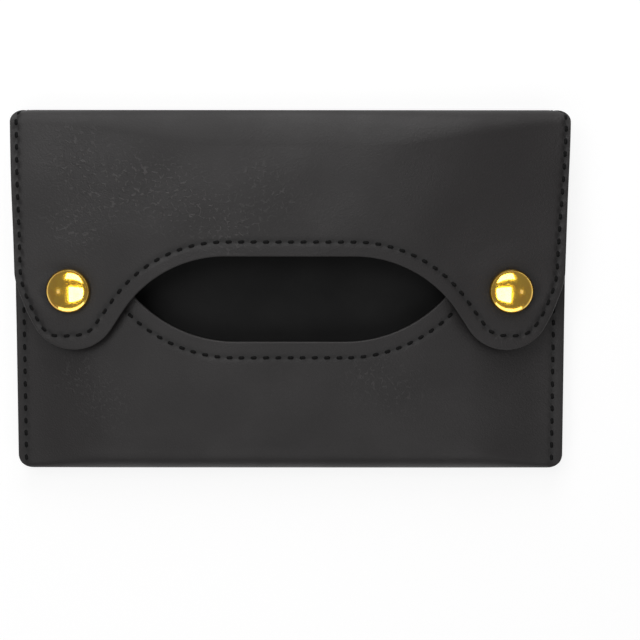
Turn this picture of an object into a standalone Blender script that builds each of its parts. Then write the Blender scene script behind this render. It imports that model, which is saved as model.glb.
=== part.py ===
"""Pocket tissue holder: a folded leather pouch with a lining, a flap and two press snaps.

The pouch lies on its back. +X is right, +Y runs up to the top fold, +Z comes out of the front.
One strip of leather, lined, makes the flap, the spine over the top, the back, the bottom fold
and the front pocket. The pocket is sewn to the back along both sides. The strip is three bodies
here, because it folds along two lines: back to spine, and spine to flap.
"""

import math

import bmesh
import bpy

# Overall, in metres.
WIDTH = 0.130
HEIGHT = 0.085
POUCH_THICKNESS = 0.0084
SPINE_HEIGHT = 0.0098
GAP = 0.00025

# The strip.
LEATHER = 0.0010
LINING = 0.0004
TOP_FOLD_RADIUS = 0.0032
TOP_CORNER_RADIUS = 0.0028
BOTTOM_CORNER_RADIUS = 0.0035
SEAM_ROLL_WIDTH = 0.020
SEAM_MARGIN = 0.003
BACK_RELAX_LENGTH = 0.021

# The front pocket's upper edge.
POCKET_EDGE_DROP = 0.0543
POCKET_EDGE_FLAT = 0.026
POCKET_EDGE_RADIUS = 0.0315
SHOULDER_DROP = 0.030
SHOULDER_RADIUS = 0.009

# The flap's lower edge. The lobes are measured from the side edge and the top fold.
FLAP_MIDDLE_LENGTH = 0.0341
FLAP_EDGE_FLAT = 0.030
ARCH_RADIUS = 0.029
LOBE_INSET = 0.0144
LOBE_DROP = 0.0456
LOBE_RADIUS = 0.0104
LOBE_SHOULDER = 0.008
FLAP_TUCK = 0.0008
FLAP_DROOP = 0.0006

# The snaps, measured from the side edge and the top fold.
SNAP_INSET = 0.0134
SNAP_DROP = 0.0421
SEAT_PRESS = 0.0006
SEAT_RADIUS = 0.008
SEAT_FADE = 0.008
CAP_RADIUS = 0.0052
CAP_HEIGHT = 0.0025
CAP_RIM_HEIGHT = 0.0006
CAP_RIM_LIP = 0.0003
CAP_POST_RADIUS = 0.0013
SOCKET_RADIUS = 0.0045
SOCKET_CEILING = 0.0005
SOCKET_ROUND = 0.0005
SNAP_CLEARANCE = 0.0005
SPRING_WIRE = 0.0005
SPRING_SPLIT = 0.0012
STUD_FLANGE_RADIUS = 0.0044
STUD_FLANGE = 0.0004
STUD_HEIGHT = 0.0019
STUD_NECK_RADIUS = 0.0020
STUD_HEAD_RADIUS = 0.0024
RIVET_FLANGE_RADIUS = 0.0040
RIVET_FLANGE = 0.0004
RIVET_RADIUS = 0.0010
RIVET_BORE_RADIUS = 0.0005
FLARE = 0.0004

# How finely the surfaces are divided, and where, as shares of the stretch that each follows.
FOLD_STEPS = 3
BOTTOM_STEPS = 8
LOBE_STEPS = 10
DOME_STEPS = 7
CAP_SEGMENTS = 32
SNAP_SEGMENTS = 20
WIRE_SEGMENTS = 6
RELAX_SHARES = (0, 0.33, 0.67, 1)
POCKET_ROW_SHARES = (0.3, 0.48, 0.6, 0.7, 0.8, 0.9, 1)
FLAP_ROW_SHARES = (0.2, 0.4, 0.6, 0.8, 1)
COLUMN_SHARES = (0.2, 0.4, 0.6, 0.8, 1)
WAIST_SHARE = 0.35
WIDEST_SHARE = 0.65
FILLET_SHARE = 0.25

HALF_WIDTH = WIDTH / 2
HALF_HEIGHT = HEIGHT / 2
PANEL = LEATHER + GAP + LINING
SEAM_THICKNESS = PANEL + GAP + PANEL
SEAM_RISE = (POUCH_THICKNESS - SEAM_THICKNESS) / 2
ROLL_END = HALF_WIDTH - SEAM_MARGIN
ROLL_START = ROLL_END - SEAM_ROLL_WIDTH
TOP_FOLD_Y = HALF_HEIGHT - TOP_FOLD_RADIUS
POCKET_EDGE_Y = HALF_HEIGHT - POCKET_EDGE_DROP
SHOULDER_Y = HALF_HEIGHT - SHOULDER_DROP
FLAP_EDGE_Y = HALF_HEIGHT - FLAP_MIDDLE_LENGTH
SNAP_X = HALF_WIDTH - SNAP_INSET
SNAP_Y = HALF_HEIGHT - SNAP_DROP
LOBE_X = HALF_WIDTH - LOBE_INSET
LOBE_Y = HALF_HEIGHT - LOBE_DROP
LOBE_SIDE = LOBE_X + LOBE_RADIUS
LOBE_TUCK = HALF_WIDTH - FLAP_TUCK - LOBE_SIDE
SNAP_STACK = GAP + STUD_HEIGHT + GAP + SOCKET_CEILING + GAP
MITRE = math.pi / 4
MERGE = GAP / 250


def ease(value, start, end):
    """0 up to start, 1 from end on, and a smooth rise between them."""
    t = min(max((value - start) / (end - start), 0), 1)
    return t * t * (3 - 2 * t)


def mix(a, b, t):
    return a + (b - a) * t


def ogee_drop(x, flat_end, big_radius, small_x, small_radius, drop):
    """How far an edge has fallen at x: level, round a big arc, down a straight, round a small arc.

    The edge is level up to flat_end, where the big arc starts. The small arc is centred over
    small_x, and its lowest point lies at drop. The straight touches both arcs.
    """
    across = small_x - flat_end
    up = big_radius + small_radius - drop
    reach = math.hypot(across, up)
    turn = math.atan2(up, across) + math.acos(min((big_radius + small_radius) / reach, 1))
    big_end = flat_end + big_radius * math.cos(turn)
    small_start = small_x - small_radius * math.cos(turn)
    if x <= flat_end:
        return 0
    if x <= big_end:
        return big_radius - math.sqrt(big_radius**2 - (x - flat_end) ** 2)
    if x >= small_start:
        side = min(abs(x - small_x), small_radius)
        return drop - small_radius + math.sqrt(small_radius**2 - side**2)
    fallen = big_radius * (1 - math.sin(turn))
    return fallen + (x - big_end) / math.tan(turn)


def pocket_edge(x):
    """y of the front pocket's upper edge."""
    rise = SHOULDER_Y - POCKET_EDGE_Y
    flat = POCKET_EDGE_FLAT / 2
    side = min(abs(x), SNAP_X)
    return POCKET_EDGE_Y + ogee_drop(
        side, flat, POCKET_EDGE_RADIUS, SNAP_X, SHOULDER_RADIUS, rise
    )


def flap_edge(x):
    """y of the flap's lower edge: the arch, then a round lobe below each snap."""
    drop = FLAP_EDGE_Y - LOBE_Y + LOBE_RADIUS
    flat = FLAP_EDGE_FLAT / 2
    return FLAP_EDGE_Y - ogee_drop(abs(x), flat, ARCH_RADIUS, LOBE_X, LOBE_RADIUS, drop)


def back_height(x, y):
    """z of the back's outer face: flat, rising to the side seams below the pocket's shoulders."""
    relaxed = ease(y, SHOULDER_Y, SHOULDER_Y + BACK_RELAX_LENGTH)
    return SEAM_RISE * ease(abs(x), ROLL_START, ROLL_END) * (1 - relaxed)


def pillow_height(x):
    return POUCH_THICKNESS - SEAM_RISE * ease(abs(x), ROLL_START, ROLL_END)


SEAT_Z = pillow_height(SNAP_X) - SEAT_PRESS
LOBE_Z = SEAT_Z + SNAP_STACK + PANEL


def pocket_height(x, y):
    """z of the pocket's outer face: a pillow, pressed flat under each snap."""
    away = math.hypot(abs(x) - SNAP_X, y - SNAP_Y)
    return mix(SEAT_Z, pillow_height(x), ease(away, SEAT_RADIUS, SEAT_RADIUS + SEAT_FADE))


def flap_height(x, y):
    """z of the flap's outer face: it climbs from the top fold to the snaps and droops at the sides."""
    climb = ease(TOP_FOLD_Y - y, 0, TOP_FOLD_Y - SNAP_Y)
    droop = ease(abs(x), SNAP_X + CAP_RADIUS, HALF_WIDTH)
    return mix(SPINE_HEIGHT, LOBE_Z, climb) - FLAP_DROOP * droop * climb


def corner_inset(y):
    """How far the strip's side edge is drawn in at the rounded corners."""
    radius = TOP_CORNER_RADIUS if y > 0 else BOTTOM_CORNER_RADIUS
    past = min(max(abs(y) - (HALF_HEIGHT - radius), 0), radius)
    return radius - math.sqrt(radius**2 - past**2)


def round_fold(centre_y, centre_z, radius, start, end, steps):
    """Points round a fold. Angles run from straight down, over +Y, to straight up."""
    angles = [mix(start, end, i / steps) for i in range(steps + 1)]
    return [(centre_y + radius * math.sin(a), centre_z - radius * math.cos(a)) for a in angles]


def pouch_path(x, depth):
    """(y, z) down the back, round the bottom fold and up the pocket, at a depth in the strip."""
    radius = TOP_FOLD_RADIUS - depth
    mitre = MITRE - GAP / 2 / radius
    top = round_fold(TOP_FOLD_Y, TOP_FOLD_RADIUS, radius, mitre, 0, FOLD_STEPS)
    relaxing = [mix(SHOULDER_Y + BACK_RELAX_LENGTH, SHOULDER_Y, share) for share in RELAX_SHARES]
    back = [(y, back_height(x, y) + depth) for y in relaxing]
    low = back_height(x, -HALF_HEIGHT)
    high = pillow_height(x)
    bend = (high - low) / 2
    bend_y = -HALF_HEIGHT + bend
    bottom = round_fold(bend_y, low + bend, bend - depth, 0, -math.pi, BOTTOM_STEPS)
    rows = [mix(bend_y, pocket_edge(x), share) for share in POCKET_ROW_SHARES]
    pocket = [(y, pocket_height(x, y) - depth) for y in rows]
    return top + back + bottom + pocket


def spine_path(x, depth):
    """(y, z) up the spine, from the back's fold to the flap's fold."""
    radius = TOP_FOLD_RADIUS - depth
    start = MITRE + GAP / 2 / radius
    upper_z = SPINE_HEIGHT - TOP_FOLD_RADIUS
    side = math.pi / 2
    lower = round_fold(TOP_FOLD_Y, TOP_FOLD_RADIUS, radius, start, side, FOLD_STEPS)
    upper = round_fold(TOP_FOLD_Y, upper_z, radius, side, math.pi - start, FOLD_STEPS)
    return lower + upper


def flap_path(x, depth):
    """(y, z) round the flap's fold and down the flap to its edge."""
    radius = TOP_FOLD_RADIUS - depth
    start = math.pi - MITRE + GAP / 2 / radius
    centre_z = SPINE_HEIGHT - TOP_FOLD_RADIUS
    fold = round_fold(TOP_FOLD_Y, centre_z, radius, start, math.pi, FOLD_STEPS)
    rows = [mix(TOP_FOLD_Y, flap_edge(x), share) for share in FLAP_ROW_SHARES]
    return fold + [(y, flap_height(x, y) - depth) for y in rows]


def mirrored(columns):
    return [-x for x in reversed(columns)] + [0] + list(columns)


def pouch_columns():
    """x of the pouch's divisions: across the pocket's curved edge, then across the side roll."""
    flat = POCKET_EDGE_FLAT / 2
    curve = [mix(flat, ROLL_START, share) for share in (0, *COLUMN_SHARES)]
    roll = [mix(ROLL_START, ROLL_END, share) for share in COLUMN_SHARES]
    return mirrored(curve + roll + [HALF_WIDTH])


def flap_columns():
    """x of the flap's divisions: along the arch, then evenly round each lobe."""
    flat = FLAP_EDGE_FLAT / 2
    lobe_start = LOBE_X - LOBE_RADIUS * math.cos(MITRE)
    arch = [mix(flat, lobe_start, share) for share in (0, *COLUMN_SHARES)]
    turns = [mix(MITRE, math.pi, i / LOBE_STEPS) for i in range(1, LOBE_STEPS + 1)]
    lobe = [LOBE_X - LOBE_RADIUS * math.cos(turn) for turn in turns]
    return mirrored(arch + lobe)


def spine_columns():
    return mirrored([HALF_WIDTH])


def pouch_across(x, y):
    """x of a column at a height y, drawn in at the rounded corners."""
    return x * (1 - corner_inset(y) / HALF_WIDTH)


def flap_across(x, y):
    """x of a flap column at a height y.

    The flap is as wide as the spine at the fold, a little narrower at the snaps, and curves in
    below them to the lobes. Only its outer columns spread.
    """
    tuck = FLAP_TUCK * ease(TOP_FOLD_Y - y, 0, TOP_FOLD_Y - SNAP_Y)
    tuck += LOBE_TUCK * ease(LOBE_Y - y, -LOBE_SHOULDER, LOBE_RADIUS / 2)
    side = HALF_WIDTH - corner_inset(y) - tuck
    outer = max(abs(x) - ROLL_START, 0) / (LOBE_SIDE - ROLL_START)
    return x + math.copysign(outer * (side - LOBE_SIDE), x)


def add_object(name, bm, material):
    bmesh.ops.recalc_face_normals(bm, faces=bm.faces)
    mesh = bpy.data.meshes.new(name)
    bm.to_mesh(mesh)
    bm.free()
    mesh.materials.append(material)
    obj = bpy.data.objects.new(name, mesh)
    bpy.context.scene.collection.objects.link(obj)
    return obj


def strip_piece(name, path, columns, across_at, top_depth, thickness, material):
    """A closed sheet between two depths of the strip, lofted across the columns."""
    layers = []
    for depth in (top_depth, top_depth + thickness):
        grid = []
        for x in columns:
            pairs = zip(path(x, 0), path(x, depth))
            grid.append([(across_at(x, outer[0]), *inner) for outer, inner in pairs])
        layers.append(grid)
    bm = bmesh.new()
    verts = [[[bm.verts.new(p) for p in row] for row in grid] for grid in layers]
    across, along = len(columns), len(layers[0][0])
    for sheet in verts:
        for i in range(across - 1):
            for j in range(along - 1):
                bm.faces.new((sheet[i][j], sheet[i + 1][j], sheet[i + 1][j + 1], sheet[i][j + 1]))
    border = [(i, 0) for i in range(across - 1)]
    border += [(across - 1, j) for j in range(along - 1)]
    border += [(i, along - 1) for i in range(across - 1, 0, -1)]
    border += [(0, j) for j in range(along - 1, 0, -1)]
    for (i, j), (k, m) in zip(border, border[1:] + border[:1]):
        bm.faces.new((verts[0][i][j], verts[1][i][j], verts[1][k][m], verts[0][k][m]))
    return add_object(name, bm, material)


def turned(name, profile, x, y, z, segments, material):
    """A solid turned about the vertical line through (x, y). Profile points are (radius, height)."""
    bm = bmesh.new()
    verts = [bm.verts.new((radius, 0, height)) for radius, height in profile]
    edges = [bm.edges.new(pair) for pair in zip(verts, verts[1:] + verts[:1])]
    bmesh.ops.spin(
        bm,
        geom=verts + edges,
        cent=(0, 0, 0),
        axis=(0, 0, 1),
        angle=2 * math.pi,
        steps=segments,
        use_merge=True,
    )
    bmesh.ops.remove_doubles(bm, verts=bm.verts, dist=MERGE)
    slivers = [face for face in bm.faces if face.calc_area() < MERGE**2]
    bmesh.ops.delete(bm, geom=slivers, context="FACES")
    obj = add_object(name, bm, material)
    obj.location = (x, y, z)
    obj.data.shade_smooth()
    obj.data.set_sharp_from_angle(angle=MITRE)
    return obj


def cut_hole(obj, radius, x, y, low, high):
    """Cuts the snap's hole through one sheet."""
    bm = bmesh.new()
    bmesh.ops.create_cone(
        bm, cap_ends=True, segments=SNAP_SEGMENTS, radius1=radius, radius2=radius, depth=high - low
    )
    cutter = add_object(f"{obj.name}_cutter", bm, obj.data.materials[0])
    cutter.location = (x, y, (low + high) / 2)
    cutter.hide_render = True
    cutter.display_type = "WIRE"
    hole = obj.modifiers.new("snap hole", "BOOLEAN")
    hole.operation = "DIFFERENCE"
    hole.solver = "EXACT"
    hole.object = cutter


def make_material(name, color, roughness, metallic):
    material = bpy.data.materials.new(name)
    material.use_nodes = True
    shader = material.node_tree.nodes["Principled BSDF"]
    shader.inputs["Base Color"].default_value = (*color, 1)
    shader.inputs["Roughness"].default_value = roughness
    shader.inputs["Metallic"].default_value = metallic
    return material


def make_strip(leather, lining):
    """The leather and the lining of each of the three bodies, and the holes for the snaps."""
    bodies = (
        ("pouch", pouch_path, pouch_columns(), pouch_across),
        ("spine", spine_path, spine_columns(), pouch_across),
        ("flap", flap_path, flap_columns(), flap_across),
    )
    sheets = {}
    for body, path, columns, across_at in bodies:
        for layer, depth, thickness, material in (
            ("leather", 0, LEATHER, leather),
            ("lining", LEATHER + GAP, LINING, lining),
        ):
            name = f"{body}_{layer}"
            sheets[name] = strip_piece(
                name, path, columns, across_at, depth, thickness, material
            )
    for side in (-1, 1):
        x = side * SNAP_X
        for layer in ("leather", "lining"):
            low = SEAT_Z - PANEL - GAP
            cut_hole(sheets[f"pouch_{layer}"], RIVET_RADIUS + GAP, x, SNAP_Y, low, SEAT_Z + GAP)
            low = LOBE_Z - PANEL - GAP
            cut_hole(sheets[f"flap_{layer}"], CAP_POST_RADIUS + GAP, x, SNAP_Y, low, LOBE_Z + GAP)


def cap_profile():
    """A domed cap with a rolled rim, and a post that flares into the socket's countersink."""
    rim = CAP_RADIUS - CAP_RIM_LIP
    turns = [mix(0, math.pi / 2, i / DOME_STEPS) for i in range(DOME_STEPS + 1)]
    dome = [
        (CAP_RADIUS * math.cos(t), CAP_RIM_HEIGHT + (CAP_HEIGHT - CAP_RIM_HEIGHT) * math.sin(t))
        for t in turns
    ]
    dome[-1] = (0, CAP_HEIGHT)
    foot = -(GAP + PANEL + GAP + SOCKET_CEILING)
    post = CAP_POST_RADIUS
    return [(0, foot), (post + FLARE, foot), (post, foot + FLARE), (post, 0), (rim, 0)] + dome


def socket_profile():
    """A ring, open below to take the stud, with a groove for its spring and a countersunk ceiling."""
    mouth = STUD_HEAD_RADIUS + SNAP_CLEARANCE
    room = STUD_HEIGHT - STUD_FLANGE
    top = room + SOCKET_CEILING
    hole = CAP_POST_RADIUS + GAP
    groove = mouth + SPRING_WIRE + GAP
    groove_low = (room - SPRING_WIRE) / 2 - GAP
    groove_high = (room + SPRING_WIRE) / 2 + GAP
    inside = [(mouth, 0), (mouth, groove_low), (groove, groove_low), (groove, groove_high)]
    inside += [(mouth, groove_high), (mouth, room), (hole + FLARE, room)]
    inside += [(hole, room + FLARE), (hole, top)]
    outside = [
        (SOCKET_RADIUS - SOCKET_ROUND, top),
        (SOCKET_RADIUS, top - SOCKET_ROUND),
        (SOCKET_RADIUS, SOCKET_ROUND),
        (SOCKET_RADIUS - SOCKET_ROUND, 0),
    ]
    return inside + outside


def stud_profile():
    """A flange and a waisted head, with a countersunk hole for the rivet."""
    hole = RIVET_RADIUS + GAP
    waist = mix(STUD_FLANGE, STUD_HEIGHT, WAIST_SHARE)
    widest = mix(STUD_FLANGE, STUD_HEIGHT, WIDEST_SHARE)
    crown = (STUD_NECK_RADIUS + STUD_HEAD_RADIUS) / 2
    return [
        (hole, 0),
        (STUD_FLANGE_RADIUS, 0),
        (STUD_FLANGE_RADIUS, STUD_FLANGE / 2),
        (STUD_FLANGE_RADIUS - STUD_FLANGE / 2, STUD_FLANGE),
        (mix(STUD_NECK_RADIUS, STUD_FLANGE_RADIUS, FILLET_SHARE), STUD_FLANGE),
        (STUD_NECK_RADIUS, waist),
        (STUD_HEAD_RADIUS, widest),
        (crown, STUD_HEIGHT),
        (hole + FLARE, STUD_HEIGHT),
        (hole, STUD_HEIGHT - FLARE),
    ]


def rivet_profile():
    """A flat head inside the pocket, and a tube that flares in the top of the stud."""
    tip = RIVET_FLANGE + GAP + PANEL + GAP + STUD_HEIGHT
    return [
        (0, 0),
        (RIVET_FLANGE_RADIUS - RIVET_FLANGE / 2, 0),
        (RIVET_FLANGE_RADIUS, RIVET_FLANGE / 2),
        (RIVET_FLANGE_RADIUS, RIVET_FLANGE),
        (RIVET_RADIUS, RIVET_FLANGE),
        (RIVET_RADIUS, tip - FLARE),
        (RIVET_RADIUS + FLARE, tip),
        (RIVET_BORE_RADIUS + FLARE, tip),
        (RIVET_BORE_RADIUS, tip - FLARE),
        (RIVET_BORE_RADIUS, RIVET_FLANGE + GAP),
        (0, RIVET_FLANGE + GAP),
    ]


def make_spring(name, x, z, material):
    """The split wire ring that grips the stud, in the socket's groove."""
    radius = STUD_HEAD_RADIUS + SNAP_CLEARANCE + SPRING_WIRE / 2
    bm = bmesh.new()
    turns = [2 * math.pi * i / WIRE_SEGMENTS for i in range(WIRE_SEGMENTS)]
    half = SPRING_WIRE / 2
    verts = [bm.verts.new((radius + half * math.cos(t), 0, half * math.sin(t))) for t in turns]
    section = bm.faces.new(verts)
    split = SPRING_SPLIT / radius
    bmesh.ops.spin(
        bm,
        geom=[section],
        cent=(0, 0, 0),
        axis=(0, 0, 1),
        angle=2 * math.pi - split,
        steps=SNAP_SEGMENTS,
    )
    obj = add_object(name, bm, material)
    obj.location = (x, SNAP_Y, z)
    obj.rotation_euler = (0, 0, split / 2)
    obj.data.shade_smooth()
    return obj


def make_snaps(brass, steel):
    stud_z = SEAT_Z + GAP
    socket_z = stud_z + STUD_FLANGE + GAP
    spring_z = socket_z + (STUD_HEIGHT - STUD_FLANGE) / 2
    rivet_z = SEAT_Z - PANEL - GAP - RIVET_FLANGE
    for side, word in ((-1, "left"), (1, "right")):
        x = side * SNAP_X
        turned(f"snap_cap_{word}", cap_profile(), x, SNAP_Y, LOBE_Z + GAP, CAP_SEGMENTS, brass)
        turned(f"snap_socket_{word}", socket_profile(), x, SNAP_Y, socket_z, SNAP_SEGMENTS, brass)
        turned(f"snap_stud_{word}", stud_profile(), x, SNAP_Y, stud_z, SNAP_SEGMENTS, brass)
        turned(f"snap_rivet_{word}", rivet_profile(), x, SNAP_Y, rivet_z, SNAP_SEGMENTS, brass)
        make_spring(f"snap_spring_{word}", x, spring_z, steel)


def main():
    for obj in list(bpy.data.objects):
        bpy.data.objects.remove(obj, do_unlink=True)
    leather = make_material("dark grey leather", (0.045, 0.042, 0.042), 0.62, 0)
    lining = make_material("black lining", (0.010, 0.010, 0.010), 0.7, 0)
    brass = make_material("gilt brass", (0.83, 0.58, 0.16), 0.18, 1)
    steel = make_material("spring steel", (0.55, 0.55, 0.56), 0.3, 1)
    make_strip(leather, lining)
    make_snaps(brass, steel)


main()
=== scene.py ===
import math

import bmesh
import bpy
import numpy as np
from mathutils import Matrix, Vector
from mathutils.bvhtree import BVHTree
from mathutils.kdtree import KDTree


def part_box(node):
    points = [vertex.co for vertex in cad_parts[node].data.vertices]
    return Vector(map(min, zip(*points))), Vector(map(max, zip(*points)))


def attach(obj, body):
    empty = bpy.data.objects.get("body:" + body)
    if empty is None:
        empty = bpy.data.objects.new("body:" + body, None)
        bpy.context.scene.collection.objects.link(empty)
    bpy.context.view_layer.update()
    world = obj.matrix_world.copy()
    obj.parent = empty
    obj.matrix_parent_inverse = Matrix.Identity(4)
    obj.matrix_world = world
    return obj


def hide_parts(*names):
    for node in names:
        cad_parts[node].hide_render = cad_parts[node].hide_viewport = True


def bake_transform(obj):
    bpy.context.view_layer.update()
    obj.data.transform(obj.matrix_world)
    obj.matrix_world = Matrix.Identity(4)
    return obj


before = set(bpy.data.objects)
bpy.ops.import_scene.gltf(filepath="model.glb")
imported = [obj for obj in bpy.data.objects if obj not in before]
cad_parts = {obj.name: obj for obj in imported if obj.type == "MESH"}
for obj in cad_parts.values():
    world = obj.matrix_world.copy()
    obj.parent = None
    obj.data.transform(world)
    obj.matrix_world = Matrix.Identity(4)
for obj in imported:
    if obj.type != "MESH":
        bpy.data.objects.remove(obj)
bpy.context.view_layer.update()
print("frame loaded:", len(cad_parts), "nodes")

bpy.context.scene.view_settings.view_transform = "Standard"

# The camera looks almost straight down on the pouch, from a little beyond its top fold.

cameraView = {
    "distance": 0.350,
    "aim": (0.00702, -0.00733, 0),
    "tilt": math.radians(4.79),
    "roll": math.radians(0.04),
    "lens": 81.6,
    "sensor": 36,
    "nearest": 0.01,
    "furthest": 20,
}


def addCamera():
    tilt = cameraView["tilt"]
    back = Vector((0, math.sin(tilt), math.cos(tilt)))
    bpy.ops.object.camera_add(
        location=Vector(cameraView["aim"]) + back * cameraView["distance"],
        rotation=(-tilt, 0, cameraView["roll"]),
    )
    camera = bpy.context.object
    camera.data.sensor_width = cameraView["sensor"]
    camera.data.lens = cameraView["lens"]
    camera.data.clip_start = cameraView["nearest"]
    camera.data.clip_end = cameraView["furthest"]
    bpy.context.scene.camera = camera
    print("camera at", tuple(round(v, 4) for v in camera.location))


addCamera()

# Sizes that the leather strip's pieces share. Those that a CAD node shows are read from it.

spineLow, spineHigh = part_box("spine_leather")
pouchLow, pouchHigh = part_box("pouch_leather")
flapLow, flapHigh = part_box("flap_leather")
capLow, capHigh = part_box("snap_cap_right")

strip = {
    "halfWidth": pouchHigh.x,
    "halfHeight": spineHigh.y,
    "thickness": pouchHigh.z,
    "spineHeight": 0.0098,
    "leather": 0.0010,
    "panel": 0.00165,
    "foldRadius": 0.0032,
    "topCorner": 0.0028,
    "bottomCorner": 0.0035,
    "seamThickness": 0.00355,
    "seamMargin": 0.003,
    "rollWidth": 0.020,
    "relaxLength": 0.021,
    "edgeRound": 0.00028,
    "edgeSteps": 4,
    "foldRows": 14,
    "spineRows": 4,
}
snap = {
    "x": (capLow.x + capHigh.x) / 2,
    "y": (capLow.y + capHigh.y) / 2,
    "press": 0.0006,
    "seatRadius": 0.008,
    "seatFade": 0.008,
    "gap": 0.00025,
    "bite": 0.00003,  # how far past the gap the metal sits, in the sheet
}
pocket = {
    "edgeDrop": 0.0543,
    "edgeFlat": 0.013,
    "edgeRadius": 0.0315,
    "shoulderDrop": 0.030,
    "shoulderRadius": 0.009,
    "columns": 104,
    "sideColumns": 44,
    "backRows": 84,
    "bottomRows": 14,
    "pocketRows": 78,
}
flap = {
    "tuck": 0.0008,
    "middleLength": 0.0341,
    "edgeFlat": 0.015,
    "archRadius": 0.029,
    "lobeX": flapHigh.x - 0.0144,
    "lobeY": flapLow.y + 0.0104,
    "lobeRadius": 0.0104,
    "lobeShoulder": 0.008,
    "lobeZ": flapHigh.z,
    "droop": 0.0006,
    "settleRadius": 0.0126,
    "capRadius": 0.0052,
    "dent": 0.00020,
    "dentWidth": 0.0014,
    "climb": 1.8,
    "lift": 0.0017,
    "liftStart": 0.006,
    "liftEnd": 0.034,
    "foldReach": 0.0084,
    "foldSlope": 1.4,
    "sideFoldSlope": 0.85,
    "foldMiddle": 0.002,
    "foldBroad": 0.016,
    "foldNarrow": 0.064,
    "archColumns": 120,
    "lobeColumns": 60,
    "rows": 128,
}


def ease(value, start, end):  # 0 up to start, 1 from end on, smooth between
    t = np.clip((value - start) / (end - start), 0, 1)
    return t * t * (3 - 2 * t)


def mix(a, b, t):
    return a + (b - a) * t


def ogeeDrop(x, flatEnd, bigRadius, smallX, smallRadius, drop):
    # How far an edge has fallen at x: level, round a big arc, down a straight, round a small arc.
    across, up = smallX - flatEnd, bigRadius + smallRadius - drop
    reach = math.hypot(across, up)
    turn = math.atan2(up, across) + math.acos(min((bigRadius + smallRadius) / reach, 1))
    bigEnd = flatEnd + bigRadius * math.cos(turn)
    smallStart = smallX - smallRadius * math.cos(turn)
    bigArc = bigRadius - np.sqrt(np.maximum(bigRadius**2 - (x - flatEnd) ** 2, 0))
    side = np.minimum(abs(x - smallX), smallRadius)
    smallArc = drop - smallRadius + np.sqrt(smallRadius**2 - side**2)
    straight = bigRadius * (1 - math.sin(turn)) + (x - bigEnd) / math.tan(turn)
    return np.select([x <= flatEnd, x <= bigEnd, x >= smallStart], [0 * x, bigArc, smallArc], straight)


foldY = strip["halfHeight"] - strip["foldRadius"]
shoulderY = strip["halfHeight"] - pocket["shoulderDrop"]
seamRise = (strip["thickness"] - strip["seamThickness"]) / 2
rollEnd = strip["halfWidth"] - strip["seamMargin"]
rollStart = rollEnd - strip["rollWidth"]
lobeRadius = flap["lobeRadius"]
lobeSide = flap["lobeX"] + lobeRadius


def pocketEdge(x, inset=0):  # y of the pocket's curved edge, or of a line inset from it
    lowest = strip["halfHeight"] - pocket["edgeDrop"]
    side = np.minimum(abs(x), snap["x"])
    radius, shoulder = pocket["edgeRadius"] + inset, pocket["shoulderRadius"] - inset
    rise = ogeeDrop(side, pocket["edgeFlat"], radius, snap["x"], shoulder, shoulderY - lowest)
    return lowest - inset + rise


def flapEdge(x, inset=0):  # y of the flap's edge: the arch, then a round lobe below each snap
    top = strip["halfHeight"] - flap["middleLength"]
    radius, lobe = flap["archRadius"] + inset, lobeRadius - inset
    depth = top - flap["lobeY"] + lobeRadius
    drop = ogeeDrop(abs(x), flap["edgeFlat"], radius, flap["lobeX"], lobe, depth)
    return top + inset - drop


# The swells and creases that handling has left in the leather: from, to, width and height.

flapCreases = (
    ((-0.0400, 0.0220), (-0.0060, 0.0180), 0.0150, 0.00030),
    ((0.0270, 0.0330), (0.0190, 0.0160), 0.0130, 0.00030),
    ((0.0580, 0.0270), (0.0440, 0.0120), 0.0120, -0.00060),
)
pocketCreases = (
    ((-0.0380, -0.0290), (-0.0080, -0.0330), 0.0120, 0.00036),
    ((0.0240, -0.0240), (0.0480, -0.0300), 0.0100, -0.00024),
    ((0.0300, -0.0360), (0.0540, -0.0300), 0.0060, 0.00016),
)
wornPlaces = (  # from, to, width and how worn, for the fine creases that catch the light, whose flecks get a painted highlight
    ((-0.0500, 0.0320), (-0.0440, 0.0230), 0.0065, 1.0),
    ((-0.0360, 0.0270), (-0.0290, 0.0220), 0.0060, 0.9),
    ((-0.0270, 0.0230), (-0.0130, 0.0150), 0.0065, 0.9),
    ((-0.0530, 0.0165), (-0.0480, 0.0135), 0.0040, 0.8),
    ((-0.0070, 0.0270), (-0.0020, 0.0220), 0.0045, 0.6),
    ((0.0190, -0.0200), (0.0260, -0.0240), 0.0060, 0.5),
    ((-0.0500, -0.0200), (-0.0440, -0.0260), 0.0060, 0.4),
)
dullAndPaintedShadePlaces = (  # the same, for leather made rougher and darkened with painted shade
    ((0.0500, 0.0330), (0.0480, 0.0040), 0.0200, 1.0),
    ((-0.0600, -0.0180), (-0.0560, -0.0360), 0.0120, 0.6),
)
waves = (  # length along x, length along y, phase, height
    (0.031, 0.047, 0.4, 0.00010),
    (-0.019, 0.029, 2.1, 0.00005),
    (0.052, -0.021, 4.0, 0.00008),
)


def nearLine(x, y, start, end, width):  # 1 on a line between two places, fading to 0 beside it
    alongX, alongY = end[0] - start[0], end[1] - start[1]
    t = np.clip(((x - start[0]) * alongX + (y - start[1]) * alongY) / (alongX**2 + alongY**2), 0, 1)
    away = np.hypot(x - start[0] - t * alongX, y - start[1] - t * alongY)
    return np.exp(-((away / width) ** 2))


def relief(x, y, creases):
    height = sum(size * np.sin(2 * math.pi * (x / a + y / b) + phase) for a, b, phase, size in waves)
    return height + sum(size * nearLine(x, y, *line) for *line, size in creases)


def marked(x, y, places):  # how worn the leather is, or how rough and darkened with painted shade
    return np.minimum(sum(amount * nearLine(x, y, *line) for *line, amount in places), 1)


def backHeight(x, y):  # z of the back's outer face
    relaxed = ease(y, shoulderY, shoulderY + strip["relaxLength"])
    return seamRise * ease(abs(x), rollStart, rollEnd) * (1 - relaxed)


def pillowHeight(x):
    return strip["thickness"] - seamRise * ease(abs(x), rollStart, rollEnd)


seatZ = float(pillowHeight(snap["x"])) - snap["press"]


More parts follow.
